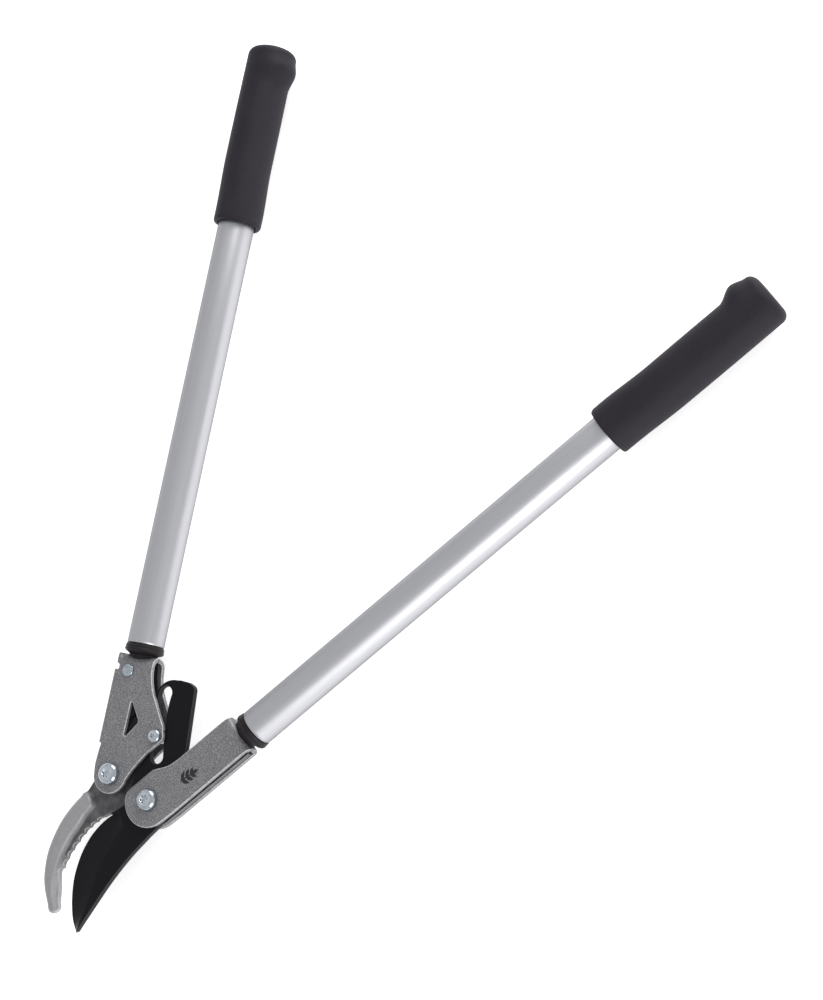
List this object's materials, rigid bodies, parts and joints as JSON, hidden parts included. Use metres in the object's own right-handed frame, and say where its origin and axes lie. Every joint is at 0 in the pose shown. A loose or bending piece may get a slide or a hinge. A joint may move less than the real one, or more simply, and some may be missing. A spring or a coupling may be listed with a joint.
{
  "type": "pruning shears",
  "caption": "Long-handled bypass pruning shears: curved blade passing a serrated hook, slotted-lever drive, tube handles with grips.",
  "frame": {"origin": "centre of the bounding box in plan, at its lowest level (the grips' rims)", "axes": "+Y from the jaws towards the handle ends, along the line that halves the angle between the handles; +Z out of the front face, along both pivot axes"},
  "size_m": [0.4536, 0.5846, 0.0379],
  "materials": {
    "coated_steel": "grey hammered coat on pressed steel plates",
    "cast_steel": "blasted grey forging",
    "blade_coating": "black low-friction coat, semi-gloss",
    "satin_aluminium": "satin anodised tube",
    "zinc_plate": "bright zinc-plated steel",
    "grip_rubber": "matte soft grip",
    "black_plastic": "moulded black plastic",
    "bush_bronze": "sintered bush"
  },
  "bodies": {
    "hook_side": {"hook": "cast_steel", "right_bracket_front": "coated_steel", "right_bracket_rear": "coated_steel", "right_insert": "black_plastic", "right_tube": "satin_aluminium", "right_grip": "grip_rubber", "blade_pivot_screw": "zinc_plate", "blade_pivot_washer": "zinc_plate", "blade_pivot_nut": "zinc_plate"},
    "left_handle": {"left_bracket": "coated_steel", "left_insert": "black_plastic", "left_tube": "satin_aluminium", "left_grip": "grip_rubber", "hook_pivot_screw": "zinc_plate", "hook_pivot_washer": "zinc_plate", "hook_pivot_nut": "zinc_plate", "hook_pivot_spacer": "zinc_plate", "guide_screw": "zinc_plate", "guide_roller": "zinc_plate", "guide_nut": "zinc_plate", "insert_rivet": "zinc_plate"},
    "blade": {"blade": "blade_coating", "blade_bush": "bush_bronze"}
  },
  "joints": [
    {"name": "left_handle_hinge", "type": "hinge", "parent": "hook_side", "child": "left_handle", "pos_m": [-0.0219, -0.19163, 0.01895], "axis": [0, 0, 1], "range_deg": [-20, 65]},
    {"name": "blade_hinge", "type": "hinge", "parent": "hook_side", "child": "blade", "pos_m": [0.014, -0.18973, 0.01895], "axis": [0, 0, 1], "range_deg": [-12, 39]}
  ],
  "couplings": [
    {"joint": "blade_hinge", "follows": "left_handle_hinge", "ratio": 0.6}
  ]
}
